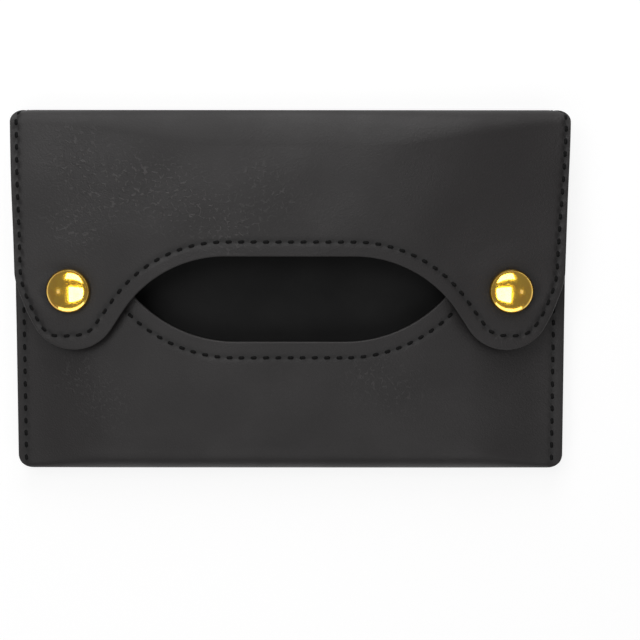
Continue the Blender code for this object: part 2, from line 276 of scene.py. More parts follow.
def pocketHeight(x, y):  # z of the pocket's outer face
    away = np.hypot(abs(x) - snap["x"], y - snap["y"])
    seat = ease(away, snap["seatRadius"], snap["seatRadius"] + snap["seatFade"])
    inside = ease(strip["halfWidth"] - abs(x), strip["seamMargin"], strip["rollWidth"])
    lively = inside * ease(y + strip["halfHeight"], strip["thickness"] / 2, strip["thickness"])
    return mix(seatZ, pillowHeight(x) + lively * relief(x, y, pocketCreases), seat)


def capRing(x, y):  # 1 along the rims of the caps, fading to 0 beside them
    away = np.hypot(abs(x) - snap["x"], y - snap["y"]) - flap["capRadius"]
    return np.exp(-((away / flap["dentWidth"]) ** 2))


def foldNarrowness(x):  # the front's fold is broad in the middle, and narrow at the sides
    return ease(abs(x - flap["foldMiddle"]), flap["foldBroad"], flap["foldNarrow"])


def frontFoldReach(x):  # how far down the front its fold is round
    return mix(flap["foldReach"], strip["foldRadius"], foldNarrowness(x))


def flapHeight(x, y):  # z of the flap's outer face
    startY = strip["halfHeight"] - frontFoldReach(x)
    climb = 1 - (1 - np.clip((startY - y) / (startY - snap["y"]), 0, 1)) ** flap["climb"]
    droop = ease(abs(x), snap["x"] + flap["capRadius"], strip["halfWidth"])
    away = np.hypot(abs(x) - snap["x"], y - snap["y"])
    settled = ease(away, flap["capRadius"], flap["settleRadius"])
    lobe = settled * ease(snap["y"] + flap["capRadius"] - y, 0, flap["settleRadius"])
    dent = flap["dent"] * capRing(x, y)
    foldZ = strip["spineHeight"] + flap["lift"] * ease(x, flap["liftStart"], flap["liftEnd"])
    level = mix(foldZ, flap["lobeZ"], climb) - flap["droop"] * droop * climb
    return level + settled * relief(x, y, flapCreases) - flap["droop"] * lobe - dent


def cornerInset(y):
    radius = np.where(y > 0, strip["topCorner"], strip["bottomCorner"])
    past = np.clip(abs(y) - (strip["halfHeight"] - radius), 0, radius)
    return radius - np.sqrt(radius**2 - past**2)


def pouchAcross(x, y):  # x of a column at a height y
    return x * (1 - cornerInset(y) / strip["halfWidth"])


def flapAcross(x, y):  # the same for the flap, whose outer columns spread above the lobes
    tuck = flap["tuck"] * ease(foldY - y, 0, foldY - snap["y"])
    most = strip["halfWidth"] - flap["tuck"] - lobeSide
    tuck = tuck + most * ease(flap["lobeY"] - y, -flap["lobeShoulder"], lobeRadius / 2)
    side = strip["halfWidth"] - cornerInset(y) - tuck
    outer = np.maximum(abs(x) - rollStart, 0) / (lobeSide - rollStart)
    return x + np.sign(x) * outer * (side - lobeSide)


def mirrored(columns):
    return np.concatenate([-columns[::-1], [0], columns])


def pouchColumns(inset):
    middle = np.linspace(0, rollStart, pocket["columns"] // 2 + 1)[1:]
    side = np.linspace(rollStart, strip["halfWidth"] - inset, pocket["sideColumns"] + 1)[1:]
    return mirrored(np.concatenate([middle, side]))


def flapColumns(inset):
    lobe = lobeRadius - inset
    turns = np.linspace(math.pi / 4, math.pi, flap["lobeColumns"] + 1)
    start = flap["lobeX"] - lobe * math.cos(turns[0])
    arch = np.linspace(0, start, flap["archColumns"] // 2 + 1)[1:]
    return mirrored(np.concatenate([arch, flap["lobeX"] - lobe * np.cos(turns[1:])]))


def foldArc(centreZ, start, end, depth):  # y and z round a fold, turning from straight down over +Y
    turn = np.linspace(start, end, strip["foldRows"])
    radius = strip["foldRadius"] - depth
    return foldY + radius * np.sin(turn), centreZ - radius * np.cos(turn)


def halfSpine(endZ, depth):  # y and z from the middle of the spine to one of its folds
    z = np.linspace(strip["spineHeight"] / 2, endZ, strip["spineRows"])[:-1]
    return strip["halfHeight"] - depth + 0 * z, z


def joined(x, *runs):  # runs of (y, z) rows, widened to every column, side by side
    wide = [[np.broadcast_to(part, (len(x), part.shape[-1])) for part in run] for run in runs]
    return [np.concatenate(parts, 1) for parts in zip(*wide)]


def pouchRows(x, depth, inset):
    fold = strip["foldRadius"]
    low, high = backHeight(x, -strip["halfHeight"]), pillowHeight(x)
    bend = (high - low) / 2
    bendY = bend - strip["halfHeight"]
    backY = mix(foldY, bendY, np.linspace(0, 1, pocket["backRows"] + 1)[1:-1])
    turn = np.linspace(0, -math.pi, pocket["bottomRows"])
    bottom = (bendY + (bend - depth) * np.sin(turn), low + bend - (bend - depth) * np.cos(turn))
    frontY = mix(bendY, pocketEdge(x, inset), np.linspace(0, 1, pocket["pocketRows"] + 1)[1:])
    return joined(
        x,
        halfSpine(fold, depth),
        foldArc(fold, math.pi / 2, 0, depth),
        (backY, backHeight(x, backY) + depth),
        bottom,
        (frontY, pocketHeight(x, frontY) - depth),
    )


def flapRows(x, depth, inset):
    centreZ = strip["spineHeight"] - strip["foldRadius"]
    reach = frontFoldReach(x)
    startY = strip["halfHeight"] - reach
    rise = flapHeight(x, startY) - centreZ
    turn = np.linspace(math.pi / 2, math.pi, strip["foldRows"])
    slope = mix(flap["foldSlope"], flap["sideFoldSlope"], foldNarrowness(x))
    roundY = startY + (reach - depth) * np.sin(turn) ** slope
    fold = (roundY, centreZ - (rise - depth) * np.cos(turn))
    y = mix(startY, flapEdge(x, inset), np.linspace(0, 1, flap["rows"] + 1)[1:])
    return joined(x, halfSpine(centreZ, depth), fold, (y, flapHeight(x, y) - depth))


def pouchGrid(depth, inset):
    x = pouchColumns(inset)[:, None]
    (y, z), outerY = pouchRows(x, depth, inset), pouchRows(x, 0, inset)[0]
    return np.stack([pouchAcross(x, outerY), y, z], 2)


def flapGrid(depth, inset):
    x = flapColumns(inset)[:, None]
    (y, z), outerY = flapRows(x, depth, inset), flapRows(x, 0, inset)[0]
    return np.stack([flapAcross(x, outerY), y, z], 2)


# A sheet is a closed solid: an outer and an inner grid, and a rounded rim between them.


def rimSteps(thickness):  # (inset, depth) down the rounded rim, from the outer face to the inner
    turns = np.linspace(0, math.pi / 2, strip["edgeSteps"])[1:]
    radius = min(strip["edgeRound"], thickness / 2)
    top = [(radius * (1 - math.sin(t)), radius * (1 - math.cos(t))) for t in turns]
    return top + [(inset, thickness - depth) for inset, depth in reversed(top)]


def borderOf(columns, rows):  # the grid's border, once round
    ring = [(i, 0) for i in range(columns)] + [(columns - 1, j) for j in range(1, rows)]
    ring += [(i, rows - 1) for i in range(columns - 2, -1, -1)] + [(0, j) for j in range(rows - 2, 0, -1)]
    return tuple(np.array(ring).T)


def gridFaces(columns, rows, start, flip):
    corner = start + np.arange((columns - 1) * rows).reshape(columns - 1, rows)[:, :-1].ravel()
    quads = np.stack([corner, corner + rows, corner + rows + 1, corner + 1], 1)
    return quads[:, ::-1] if flip else quads


class Sheet:
    # One layer of the strip: its grids, its rim, and the places along it where thread pulls it in.
    def __init__(self, grid, depth, thickness, inset):
        edge = min(strip["edgeRound"], thickness / 2)
        self.outer = grid(depth, inset + edge)
        self.inner = grid(depth + thickness, inset + edge)
        self.shape = self.outer.shape[:2]
        self.border = borderOf(*self.shape)
        self.rings = [grid(depth + d, inset + i)[self.border] for i, d in rimSteps(thickness)]
        # painted shade in a ring round each cap, where the cap shades the leather; pullIn adds the seams'
        # painted shade
        self.paintedContactShade = capRing(self.outer[..., 0], self.outer[..., 1]) * (self.outer[..., 2] > seatZ)

    def surface(self, points):
        faces = gridFaces(*self.shape, 0, False).tolist()
        return BVHTree.FromPolygons(points.reshape(-1, 3).tolist(), faces)

    def lengthsAlong(self):
        steps = np.linalg.norm(np.diff(self.outer, axis=1), axis=2)
        return np.concatenate([np.zeros((self.shape[0], 1)), np.cumsum(steps, 1)], 1)

    def build(self, name, material, upwards):
        count = self.shape[0] * self.shape[1]
        around = len(self.border[0])
        points = np.concatenate([self.outer.reshape(-1, 3), self.inner.reshape(-1, 3), *self.rings])
        first = np.ravel_multi_index(self.border, self.shape)
        loops = [first]
        loops += [2 * count + k * around + np.arange(around) for k in range(len(self.rings))]
        loops += [first + count]
        faces = [gridFaces(*self.shape, 0, False), gridFaces(*self.shape, count, True)]
        for a, b in zip(loops, loops[1:]):
            faces.append(np.stack([a, b, np.roll(b, -1), np.roll(a, -1)], 1))
        faces = np.concatenate(faces)
        mesh = bpy.data.meshes.new(name)
        mesh.from_pydata(points.tolist(), [], faces.tolist())
        along = self.lengthsAlong() * (-1 if upwards else 1)
        flat = np.stack([self.outer[..., 0] + 0 * along, along], 2)
        layout = np.concatenate([flat.reshape(-1, 2)] * 2 + [flat[self.border]] * len(self.rings))
        uv = mesh.uv_layers.new(name="strip")
        uv.data.foreach_set("uv", layout[faces.ravel()].astype(np.float32).ravel())
        across, up, _ = np.moveaxis(self.outer, 2, 0)
        fields = np.zeros((4, len(points)), np.float32)
        fields[0, 2 * count:] = np.tile(self.border[1] > 0, len(self.rings))
        fields[1, :count] = self.paintedContactShade.ravel()
        fields[2, :count] = marked(across, up, wornPlaces).ravel()
        fields[3, :count] = marked(across, up, dullAndPaintedShadePlaces).ravel()
        for field, values in zip(("rim", "paintedContactShade", "worn", "dullAndPaintedShade"), fields):
            mesh.attributes.new(field, "FLOAT", "POINT").data.foreach_set("value", values)
        piece = bpy.data.objects.new(name, mesh)
        bpy.context.scene.collection.objects.link(piece)
        self.area = sum(face.area for face in mesh.polygons) / 2
        selectOnly(piece)
        bpy.ops.object.mode_set(mode="EDIT")
        return finished(piece, material, smoothAngles["sheet"])


def selectOnly(*wanted):
    bpy.ops.object.select_all(action="DESELECT")
    for piece in wanted:
        piece.select_set(True)
    bpy.context.view_layer.objects.active = wanted[0]


smoothAngles = {"sheet": 40, "turned": 35, "spring": 50, "stitch": 60}  # in degrees


def finished(piece, material, angle):  # a piece that is in edit mode, made ready
    bpy.ops.mesh.select_all(action="SELECT")
    bpy.ops.mesh.normals_make_consistent(inside=False)
    bpy.ops.object.mode_set(mode="OBJECT")
    bpy.ops.object.transform_apply(location=True, rotation=True, scale=True)
    bpy.ops.object.shade_smooth_by_angle(angle=math.radians(angle))
    piece.data.materials.append(material)
    print(piece.name, "has", len(piece.data.polygons), "faces")
    return piece


# The sewing. A line runs on the surface of a sheet; its stitches are even, and pull the sheet in.

sewing = {
    "pitch": 0.0029,
    "dash": 0.0018,
    "thread": 0.00050,
    "slant": math.radians(5),
    "pull": 0.00030,
    "pullWidth": 0.00070,
    "holes": 0.4,
    "sink": 0.00032,
    "foldSink": 0.00012,
    "flapInset": 0.0034,
    "flapSideInsets": {-1: (0.0015, 0.0015), 1: (0.0011, 0.0021)},  # at the top and by the lobe
    "pocketInset": 0.0038,
    "sideInsets": {-1: 0.0019, 1: 0.0026},
    "cornerInset": 0.0010,
    "bottomInset": 0.0012,
    "fineness": 0.0001,
    "flapSteps": 60,
    "sideSteps": 80,
    "pocketSteps": 300,
    "rings": ((0.5, 0.5, 0.9), (0.4, 0.82, 0.42), (0.22, 1, 0.06)),  # place, width and drop
}


def resampled(points, step):
    lengths = np.concatenate([[0], np.cumsum(np.linalg.norm(np.diff(points, axis=0), axis=1))])
    count = max(int(lengths[-1] / step), 2)
    places = np.linspace(0, lengths[-1], count)
    return np.stack([np.interp(places, lengths, points[:, k]) for k in range(3)], 1)


class Seam:
    # A line of stitches that lies on one face of a sheet.
    def __init__(self, points, sheet, face):
        surface = sheet.surface(getattr(sheet, face))
        rough = resampled(np.array(points), sewing["fineness"])
        found = [surface.find_nearest(Vector(p)) for p in rough]
        self.points = np.array([place for place, _, _, _ in found])
        self.normals = np.array([normal for _, normal, _, _ in found])
        steps = np.linalg.norm(np.diff(self.points, axis=0), axis=1)
        self.along = np.concatenate([[0], np.cumsum(steps)])
        self.count = round(self.along[-1] / sewing["pitch"])
        self.pitch = self.along[-1] / self.count

    def pullIn(self, sheet, face, away):
        # Lowers the face's points near the line, most at the holes. away is +1 or -1 along its normals.
        tree = KDTree(len(self.points))
        for i, point in enumerate(self.points):
            tree.insert(point, i)
        tree.balance()
        flat = getattr(sheet, face).reshape(-1, 3)
        paintedContactShade = sheet.paintedContactShade.reshape(-1)
        low, high = self.points.min(0) - sewing["pitch"], self.points.max(0) + sewing["pitch"]
        near = np.flatnonzero(((flat > low) & (flat < high)).all(1))
        for k in near:
            _, i, distance = tree.find(flat[k])
            if distance < 3 * sewing["pullWidth"]:
                depth = math.exp(-((distance / sewing["pullWidth"]) ** 2))
                # on the outer face, the pull is also kept as painted shade along the seam
                if face == "outer":
                    paintedContactShade[k] = max(paintedContactShade[k], depth)
                pulse = math.cos(2 * math.pi * self.along[i] / self.pitch)
                depth *= 1 - sewing["holes"] + sewing["holes"] * pulse
                flat[k] -= away * sewing["pull"] * depth * self.normals[i]

    def stitchFrames(self, away):  # a matrix for each stitch: x along the seam, z out of the sheet
        frames = []
        for n in range(self.count):
            i = int(np.searchsorted(self.along, (n + 0.5) * self.pitch))
            i = min(max(i, 1), len(self.points) - 2)
            out = Vector(away * self.normals[i]).normalized()
            run = Vector(self.points[i + 1] - self.points[i - 1]).normalized()
            side = out.cross(run).normalized()
            run = side.cross(out)
            sink = sewing["sink"] + sewing["foldSink"] * max(out.y, 0)
            place = Vector(self.points[i]) - out * sink
            lie = Matrix((run, side, out)).transposed().to_4x4()
            frames.append(Matrix.Translation(place) @ lie @ Matrix.Rotation(sewing["slant"], 4, "Z"))
        return frames


def selectVerts(piece, wanted):  # in edit mode, by place
    edit = bmesh.from_edit_mesh(piece.data)
    for vert in edit.verts:
        vert.select = wanted(vert.co)
    edit.select_flush_mode()
    bmesh.update_edit_mesh(piece.data)


def makeStitch(material):
    # One stitch: a thread that rises from a hole, lies along the leather and dives into the next.
    dash = sewing["dash"]
    bpy.ops.object.select_all(action="DESELECT")
    bpy.ops.mesh.primitive_cylinder_add(
        vertices=8,
        radius=sewing["thread"],
        depth=dash,
        rotation=(0, math.pi / 2, 0),
    )
    stitch = bpy.context.object
    stitch.name = "stitch"
    bpy.ops.object.transform_apply(location=False, rotation=True, scale=False)
    bpy.ops.object.mode_set(mode="EDIT")
    rings = sewing["rings"]
    for share, _, _ in rings[1:]:
        for end in (-1, 1):
            bpy.ops.mesh.select_all(action="SELECT")
            bpy.ops.mesh.bisect(plane_co=(end * share * dash, 0, 0), plane_no=(1, 0, 0))
    for share, size, drop in rings:
        for end in (-1, 1):
            x = end * share * dash
            selectVerts(stitch, lambda co: abs(co.x - x) < dash / 40)
            bpy.ops.transform.resize(value=(1, size, size), center_override=(x, 0, 0))
            bpy.ops.transform.translate(value=(0, 0, -drop * sewing["thread"]))
    return finished(stitch, material, smoothAngles["stitch"])


def sew(name, stitch, frames):  # one piece of many stitches, each a copy with its own mesh
    copies = []
    for lie in frames:
        mesh = stitch.data.copy()
        mesh.transform(lie)
        copy = bpy.data.objects.new(name, mesh)
        bpy.context.scene.collection.objects.link(copy)
        copies.append(copy)
    selectOnly(*copies)
    bpy.ops.object.join()
    piece = bpy.context.object
    piece.name = name
    print(name, "has", len(frames), "stitches")
    return piece


# Materials. A wire is a socket of a node tree, on which shader maths is written as an expression.


class Wire:
    def __init__(self, tree, end=None):
        self.tree, self.end = tree, end  # the end is the socket that the wire comes from

    def node(self, kind, settings, inputs, output=0):
        made = self.tree.nodes.new(kind)
        for key, value in settings.items():
            setattr(made, key, value)
        for key, value in inputs.items():
            if isinstance(value, Wire):
                self.tree.links.new(value.end, made.inputs[key])
            else:
                made.inputs[key].default_value = value
        return Wire(self.tree, made.outputs[output])

    def maths(self, operation, a, b):
        return self.node("ShaderNodeMath", {"operation": operation}, {0: a, 1: b})

    def __add__(self, other):
        return self.maths("ADD", self, other)

    def __sub__(self, other):
        return self.maths("SUBTRACT", self, other)

    def __rsub__(self, other):
        return self.maths("SUBTRACT", other, self)

    def __mul__(self, other):
        return self.maths("MULTIPLY", self, other)

    __radd__, __rmul__ = __add__, __mul__

    def within(self, low, high):  # 0 at low, 1 at high, smooth between
        values = {"Value": self, "From Min": low, "From Max": high}
        return self.node("ShaderNodeMapRange", {"interpolation_type": "SMOOTHSTEP"}, values)

    def blend(self, a, b):  # color a where this is 0, and b where it is 1
        return self.node("ShaderNodeMix", {"data_type": "RGBA"}, {0: self, 6: a, 7: b}, 2)

    def noise(self, scale, detail=3, roughness=0.5):
        values = {"Vector": self, "Scale": scale, "Detail": detail, "Roughness": roughness}
        return self.node("ShaderNodeTexNoise", {}, values)

    def moved(self, other, amount):  # a place moved by another vector, as much as amount
        values = {0: other, 1: (amount,) * 3, 2: self}
        return self.node("ShaderNodeVectorMath", {"operation": "MULTIPLY_ADD"}, values)


def newMaterial(name, constants):
    material = bpy.data.materials.new(name)
    material.use_nodes = True
    shader = material.node_tree.nodes["Principled BSDF"]
    for key, value in constants.items():
        shader.inputs[key].default_value = value
    return material, Wire(material.node_tree), shader


def plug(wires, shader, links):
    for key, wire in links.items():
        wires.tree.links.new(wire.end, shader.inputs[key])


def bump(wires, height, distance, strength):
    return wires.node("ShaderNodeBump", {}, {"Height": height, "Distance": distance, "Strength": strength})


leatherFinish = {
    "dark": (0.0150, 0.0134, 0.0136, 1),
    "light": (0.0230, 0.0208, 0.0210, 1),
    "cutEdge": (0.0360, 0.0336, 0.0330, 1),
    # the next colour is a painted highlight, laid on the fine flecks of the worn creases
    "paintedHighlight": (0.0620, 0.0580, 0.0580, 1),
    # the next colour is painted shade, along the stitching and in a ring round each cap
    "paintedContactShade": (0.0050, 0.0045, 0.0046, 1),
    # the next colour is painted shade, darkening the right of the flap and the lower left of the pocket
    "dullAndPaintedShade": (0.0108, 0.0086, 0.0090, 1),
    "roughness": 0.50,
    "specular": 0.42,
    "pebble": 1 / 0.00075,
    "pore": 1 / 0.00018,
    "wrinkle": 1 / 0.0034,
    "crack": 1 / 0.0016,
    "patch": 1 / 0.024,
    "grainHeight": 0.00009,
    "shares": {"dullAndPaintedShade": 0.75, "paintedHighlight": 0.8, "paintedContactShade": 0.7, "cutEdge": 0.8},
}


def makeLeather():
    finish = leatherFinish
    constants = {"Roughness": finish["roughness"], "Specular IOR Level": finish["specular"]}
    material, wires, shader = newMaterial("coated leather", constants)
    toEdge = {"feature": "DISTANCE_TO_EDGE"}
    place = wires.node("ShaderNodeUVMap", {"uv_map": "strip"}, {})
    rim, paintedContactShade, worn, dullAndPaintedShade = (
        wires.node("ShaderNodeAttribute", {"attribute_name": field}, {}, "Fac")
        for field in ("rim", "paintedContactShade", "worn", "dullAndPaintedShade")
    )
    sway = place.node("ShaderNodeTexNoise", {}, {"Vector": place, "Scale": finish["pebble"] / 3}, 1)
    swayed = place.moved(sway, 0.35 / finish["pebble"])
    pebble, crack = (
        wires.node("ShaderNodeTexVoronoi", toEdge, {"Vector": swayed, "Scale": finish[size]})
        for size in ("pebble", "crack")
    )
    patch = place.noise(finish["patch"], 4).within(0.36, 0.66)
    ridge = place.moved(sway, 2 / finish["pebble"]).noise(finish["wrinkle"], 5, 0.62)
    wrinkle = (ridge.within(0.44, 0.5) - ridge.within(0.5, 0.56)) * (worn * 0.3 + patch * 0.15)
    broken = place.noise(finish["crack"] * 1.5, 2).within(0.50, 0.60)
    fleck = (1 - crack.within(0.03, 0.12)) * broken * worn
    pebble, pore = pebble.within(0, 0.28), place.noise(finish["pore"], 2)
    height = pebble * 0.22 + pore * 0.18 + fleck * 0.8 - wrinkle
    color = (patch * 0.55 + pebble * 0.2 + pore * 0.25).blend(finish["dark"], finish["light"])
    # painted shade goes on the dulled places, along the seams and round the caps, and a painted highlight
    # on the flecks; the cut edge keeps its own tone
    masks = {"dullAndPaintedShade": dullAndPaintedShade, "paintedHighlight": fleck, "paintedContactShade": paintedContactShade, "cutEdge": rim}
    for tone, mask in masks.items():
        color = (mask * finish["shares"][tone]).blend(color, finish[tone])
    links = {
        "Base Color": color,
        "Roughness": finish["roughness"] + 0.10 * pore - 0.06 * patch + 0.08 * dullAndPaintedShade,
        "Normal": bump(wires, height, finish["grainHeight"], 0.9),
    }
    plug(wires, shader, links)
    return material


liningFinish = {
    "color": (0.0105, 0.0105, 0.0107, 1),
    "lighter": (0.0158, 0.0157, 0.0157, 1),
    "roughness": 0.66,
    "specular": 0.12,
    "yarn": 0.00026,
    "patch": 1 / 0.014,
    "weaveHeight": 0.000012,
}


def makeLining():
    finish = liningFinish
    constants = {"Roughness": finish["roughness"], "Specular IOR Level": finish["specular"]}
    material, wires, shader = newMaterial("woven lining", constants)
    place = wires.node("ShaderNodeUVMap", {"uv_map": "strip"}, {})
    weave = []
    for axis in ("X", "Y"):
        settings = {"bands_direction": axis, "wave_profile": "SIN"}
        values = {"Vector": place, "Scale": 1 / finish["yarn"] / 3.2, "Distortion": 0.4, "Detail": 1}
        weave.append(wires.node("ShaderNodeTexWave", settings, values, 1))
    patch = place.noise(finish["patch"], 3).within(0.35, 0.68)
    height = weave[0] * weave[1]
    links = {
        "Base Color": (patch * 0.6 + height * 0.4).blend(finish["color"], finish["lighter"]),
        "Roughness": finish["roughness"] + 0.12 * height,
        "Normal": bump(wires, height, finish["weaveHeight"], 0.8),
    }
    plug(wires, shader, links)
    return material


threadFinish = {
    "color": (0.0022, 0.0021, 0.0022, 1),
    "lighter": (0.0060, 0.0058, 0.0058, 1),
    "roughness": 0.60,
    "specular": 0.16,
    "plies": (1.885, 7.54, 0),  # 3 bands round, and 12 to the whole of the other direction
    "plyHeight": 0.00005,
}


def makeThread():
    finish = threadFinish
    constants = {"Roughness": finish["roughness"], "Specular IOR Level": finish["specular"]}
    material, wires, shader = newMaterial("twisted thread", constants)
    place = wires.node("ShaderNodeTexCoord", {}, {}, "UV")
    slanted = wires.node("ShaderNodeMapping", {}, {"Vector": place, "Scale": finish["plies"]})
    settings = {"bands_direction": "DIAGONAL", "wave_profile": "SIN"}
    ply = wires.node("ShaderNodeTexWave", settings, {"Vector": slanted, "Scale": 1}, 1)
    fuzz = place.noise(60, 3)
    links = {
        "Base Color": (ply * 0.7 + fuzz * 0.3).blend(finish["color"], finish["lighter"]),
        "Roughness": finish["roughness"] + 0.2 * fuzz,
        "Normal": bump(wires, ply + 0.3 * fuzz, finish["plyHeight"], 0.9),
    }
    plug(wires, shader, links)
    return material


metalFinishes = {
    "gilt": {
        "color": (0.92, 0.55, 0.03, 1),
        "worn": (0.86, 0.42, 0.01, 1),
        "roughness": 0.15,
        "coat": 1,
        "scratch": 1 / 0.0006,
        "scratchHeight": 0.000004,
    },
    "brass": {
        "color": (0.78, 0.54, 0.17, 1),
        "worn": (0.60, 0.40, 0.12, 1),
        "roughness": 0.24,
        "coat": 0,
        "scratch": 1 / 0.0009,
        "scratchHeight": 0.00001,
    },
    "spring steel": {
        "color": (0.55, 0.55, 0.56, 1),
        "worn": (0.40, 0.40, 0.42, 1),
        "roughness": 0.28,
        "coat": 0,
        "scratch": 1 / 0.0003,
        "scratchHeight": 0.000008,
    },
}


def makeMetal(name):
    finish = metalFinishes[name]
    constants = {"Metallic": 1, "Coat Weight": finish["coat"], "Coat IOR": 1.8}
    material, wires, shader = newMaterial(name, constants)
    place = wires.node("ShaderNodeTexCoord", {}, {}, "Object")
    haze = place.noise(finish["scratch"] / 3, 4, 0.6)
    stretched = wires.node("ShaderNodeMapping", {}, {"Vector": place, "Scale": (1, 6, 2)})
    scratch = stretched.noise(finish["scratch"], 2).within(0.52, 0.62)
    links = {
        "Base Color": haze.within(0.4, 0.75).blend(finish["color"], finish["worn"]),
        "Roughness": finish["roughness"] * (0.7 + 0.6 * haze) + 0.04 * scratch,
        "Normal": bump(wires, scratch + 0.5 * haze, finish["scratchHeight"], 0.6),
    }
    plug(wires, shader, links)
    return material


leather, lining, thread = makeLeather(), makeLining(), makeThread()
gilt, brass, steel = (makeMetal(name) for name in metalFinishes)
print("materials made")

# The strip's four sheets. Leather and lining are each cut in two at the middle of the spine.

liningSheet = {
    "depth": 0.00102,
    "thickness": 0.00063,
    "inset": 0.00012,
}


def flapHalfLine(side):  # from the middle of the arch round one lobe, up its side and over the fold
    inset, (topInset, lobeInset) = sewing["flapInset"], sewing["flapSideInsets"][side]
    turns = np.linspace(math.pi / 4, math.pi, sewing["flapSteps"])
    insets = mix(inset, lobeInset, ease(turns, 0.5 * math.pi, 0.78 * math.pi))
    x = flap["lobeX"] - (lobeRadius - insets) * np.cos(turns)
    y = flap["lobeY"] - (lobeRadius - insets) * np.sin(turns)
    archX = np.linspace(0, x[0], sewing["flapSteps"])[:-1]
    upY = np.linspace(flap["lobeY"], foldY, sewing["flapSteps"])[1:]
    upX = flapAcross(lobeSide, upY) - mix(lobeInset, topInset, ease(upY, flap["lobeY"], foldY))
    x = np.concatenate([flapAcross(archX, archX * 0), flapAcross(x, y), upX])
    y = np.concatenate([flapEdge(archX, inset), y, upY])
    foldedY, foldedZ = foldArc(strip["spineHeight"] - strip["foldRadius"], math.pi, math.pi / 2, 0)
    foldedX = np.minimum(upX[-1], flapAcross(lobeSide, foldedY) - sewing["cornerInset"])
    end = (foldedX[-1], foldedY[-1], strip["spineHeight"] / 2)
    flat, fold = np.stack([x, y, flapHeight(x, y)], 1), np.stack([foldedX, foldedY, foldedZ], 1)
    return np.concatenate([flat, fold, [end]]) * (side, 1, 1)


def flapLine():  # the seam all along the flap, from the middle of the spine to the middle again
    return np.concatenate([flapHalfLine(-1)[:0:-1], flapHalfLine(1)])


def sideX(side, y):  # x of a side seam, which is straight and keeps clear of the round corners
    straight = strip["halfWidth"] - sewing["sideInsets"][side]
    return side * np.minimum(straight, strip["halfWidth"] - cornerInset(y) - sewing["cornerInset"])


def backLine(side, start, end, depth):  # down one side of the back, in y from start to end
    y = np.linspace(start, end, sewing["sideSteps"])
    return np.stack([sideX(side, y), y, backHeight(sideX(side, y), y) + depth], 1)


def spineLine(side):  # from the middle of the spine round the back's fold
    y, z = foldArc(strip["foldRadius"], math.pi / 2, 0, 0)
    start = [(sideX(side, y)[0], y[0], strip["spineHeight"] / 2)]
    return np.concatenate([start, np.stack([sideX(side, y), y, z], 1)])


def pocketSideLine(side):  # up one side seam of the pocket
    low = sewing["bottomInset"] - strip["halfHeight"]
    y = np.linspace(low, shoulderY - sewing["pocketInset"], sewing["sideSteps"])
    return np.stack([sideX(side, y), y, pocketHeight(sideX(side, y), y)], 1)


def pocketEdgeLine():
    reach = strip["halfWidth"] - 2 * sewing["sideInsets"][-1]
    x = np.linspace(-reach, reach, sewing["pocketSteps"])
    y = pocketEdge(x, sewing["pocketInset"])
    return np.stack([x, y, pocketHeight(x, y)], 1)


def makeSheets():
    cover = Sheet(pouchGrid, 0, strip["leather"], 0)
    inside = Sheet(pouchGrid, **liningSheet)
    lid = Sheet(flapGrid, 0, strip["leather"], 0)
    lidInside = Sheet(flapGrid, **liningSheet)
    seams = {"flap_stitching": [(flapLine(), lid, "outer", -1), (flapLine(), lidInside, "inner", 1)]}
    seams["pocket_stitching"] = [
        (pocketEdgeLine(), cover, "outer", 1),
        (pocketEdgeLine(), inside, "inner", -1),
    ]
    for side, word in ((-1, "left"), (1, "right")):
        down = backLine(side, foldY, strip["bottomCorner"] - strip["halfHeight"], 0)
        down = np.concatenate([spineLine(side), down[1:]])
        seams[f"{word}_side_stitching"] = [
            (down, cover, "outer", 1),
            (pocketSideLine(side), cover, "outer", 1),
            (backLine(side, foldY, shoulderY, strip["panel"]), inside, "inner", -1),
        ]
    stitch = makeStitch(thread)
    made = {}
    for name, lines in seams.items():
        frames = []
        for points, sheet, face, away in lines:
            seam = Seam(points, sheet, face)
            frames += seam.stitchFrames(away)
            seam.pullIn(sheet, face, away)
        made[name] = sew(name, stitch, frames)
    bpy.data.objects.remove(stitch)
    for name, sheet, material, upwards in (
        ("pouch_cover", cover, leather, False),
        ("pouch_inside", inside, lining, False),
        ("flap_cover", lid, leather, True),
        ("flap_inside", lidInside, lining, True),
    ):
        made[name] = sheet.build(name, material, upwards)
        made[name]["cutArea"] = sheet.area
        made[name]["cutLength"] = float(sheet.lengthsAlong().max())
    return made


pieces = makeSheets()

# The snaps. Each part is turned from a closed profile of (radius, height) points.


def turned(name, material, profile, x, segments):
    (radius, height), *others = profile
    bpy.ops.object.select_all(action="DESELECT")
    bpy.ops.mesh.primitive_circle_add(
        vertices=segments,
        radius=radius,
        fill_type="NOTHING",
        location=(x, snap["y"], height),
    )
    piece = bpy.context.object
    piece.name = name
    bpy.ops.object.mode_set(mode="EDIT")
    bpy.ops.mesh.select_all(action="SELECT")
    for nextRadius, nextHeight in others:
        bpy.ops.mesh.extrude_edges_indiv()
        bpy.ops.transform.translate(value=(0, 0, nextHeight - height))
        if nextRadius:
            share = nextRadius / radius
            pivot = (x, snap["y"], nextHeight)
            bpy.ops.transform.resize(value=(share, share, 1), center_override=pivot)
        else:
            bpy.ops.mesh.merge(type="CENTER")
        radius, height = nextRadius, nextHeight
    bpy.ops.mesh.select_all(action="DESELECT")
    bpy.ops.mesh.select_non_manifold()
    if radius:
        bpy.ops.mesh.bridge_edge_loops()
    else:
        bpy.ops.mesh.edge_face_add()
    return finished(piece, material, smoothAngles["turned"])


def rounded(corner, radius, start, end, steps=3):  # points round a corner, turning from start to end
    turns = (math.radians(mix(start, end, k / steps)) for k in range(steps + 1))
    return [(corner[0] + radius * math.cos(t), corner[1] + radius * math.sin(t)) for t in turns]


cap = {
    "radius": 0.0052,
    "bite": 0.00004,
    "rimRadius": 0.0003,
    "rimHeight": 0.0004,
    "post": 0.0013,
    "flare": 0.0004,
    "domeSteps": 26,
    "segments": 128,
}


